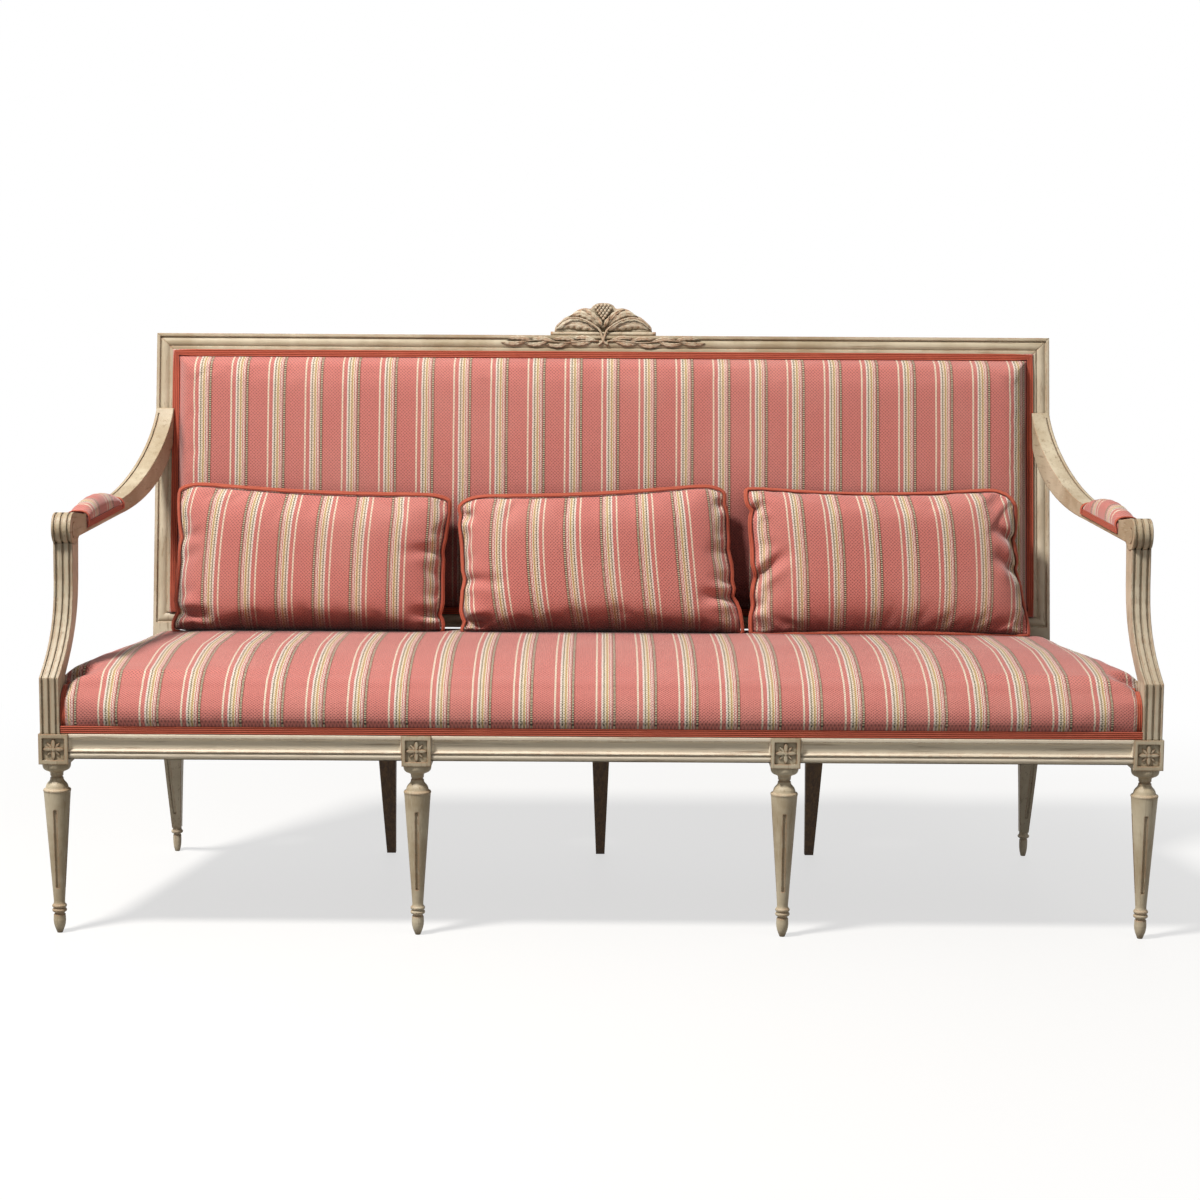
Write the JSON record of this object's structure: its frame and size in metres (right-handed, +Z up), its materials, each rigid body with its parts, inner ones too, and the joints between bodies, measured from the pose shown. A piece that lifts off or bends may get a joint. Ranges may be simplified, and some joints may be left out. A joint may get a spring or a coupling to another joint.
{
  "type": "open-arm settee",
  "caption": "Open-arm settee with a square carved show-wood back, turned fluted legs, striped upholstery and loose cushions.",
  "frame": {"origin": "on the floor, under the middle of the bounding box", "axes": "+X to the sitter's left as seen from the front (right in the picture), +Y to the back, +Z up; the front faces -Y"},
  "size_m": [1.9, 0.676, 1.0771],
  "materials": {
    "painted_wood": "worn satin paint",
    "bare_wood": "matt",
    "striped_cloth": "woven stripe",
    "braid": "corded gimp",
    "linen": "plain weave",
    "webbing": "coarse jute",
    "horsehair": "felted stuffing"
  },
  "bodies": {
    "sofa": {"front_leg_left": "painted_wood", "front_leg_inner_left": "painted_wood", "front_leg_inner_right": "painted_wood", "front_leg_right": "painted_wood", "front_rail_left": "painted_wood", "front_rail_center": "painted_wood", "front_rail_right": "painted_wood", "side_rail_left": "painted_wood", "side_rail_right": "painted_wood", "back_seat_rail": "bare_wood", "back_post_left": "painted_wood", "back_post_right": "painted_wood", "back_leg_left": "bare_wood", "back_leg_center": "bare_wood", "back_leg_right": "bare_wood", "back_bottom_rail": "painted_wood", "back_top_rail": "painted_wood", "back_uprights": "bare_wood", "crest_shell": "painted_wood", "rail_sprigs": "painted_wood", "seat_braces": "bare_wood", "corner_blocks": "bare_wood", "arm_left": "painted_wood", "arm_right": "painted_wood", "arm_support_left": "painted_wood", "arm_support_right": "painted_wood", "arm_dowels": "bare_wood", "seat_webbing": "webbing", "seat_hessian": "linen", "seat_stuffing": "horsehair", "seat_cover": "striped_cloth", "seat_gimp": "braid", "back_webbing": "webbing", "back_hessian": "linen", "back_stuffing": "horsehair", "back_cover": "striped_cloth", "back_gimp": "braid", "back_outer_cloth": "striped_cloth", "back_outer_gimp": "braid", "arm_pad_left": "horsehair", "arm_pad_right": "horsehair", "arm_cover_left": "striped_cloth", "arm_cover_right": "striped_cloth", "arm_gimp_left": "braid", "arm_gimp_right": "braid"},
    "loose_cushion_left": {"cushion_left": "striped_cloth", "cushion_insert_left": "linen", "cushion_cord_left": "braid"},
    "loose_cushion_center": {"cushion_center": "striped_cloth", "cushion_insert_center": "linen", "cushion_cord_center": "braid"},
    "loose_cushion_right": {"cushion_right": "striped_cloth", "cushion_insert_right": "linen", "cushion_cord_right": "braid"}
  },
  "joints": [
    {"name": "lift_cushion_left", "type": "slide", "parent": "sofa", "child": "loose_cushion_left", "axis": [0, 0, 1], "range_m": [0, 0.65]},
    {"name": "lift_cushion_center", "type": "slide", "parent": "sofa", "child": "loose_cushion_center", "axis": [0, 0, 1], "range_m": [0, 0.65]},
    {"name": "lift_cushion_right", "type": "slide", "parent": "sofa", "child": "loose_cushion_right", "axis": [0, 0, 1], "range_m": [0, 0.65]}
  ]
}
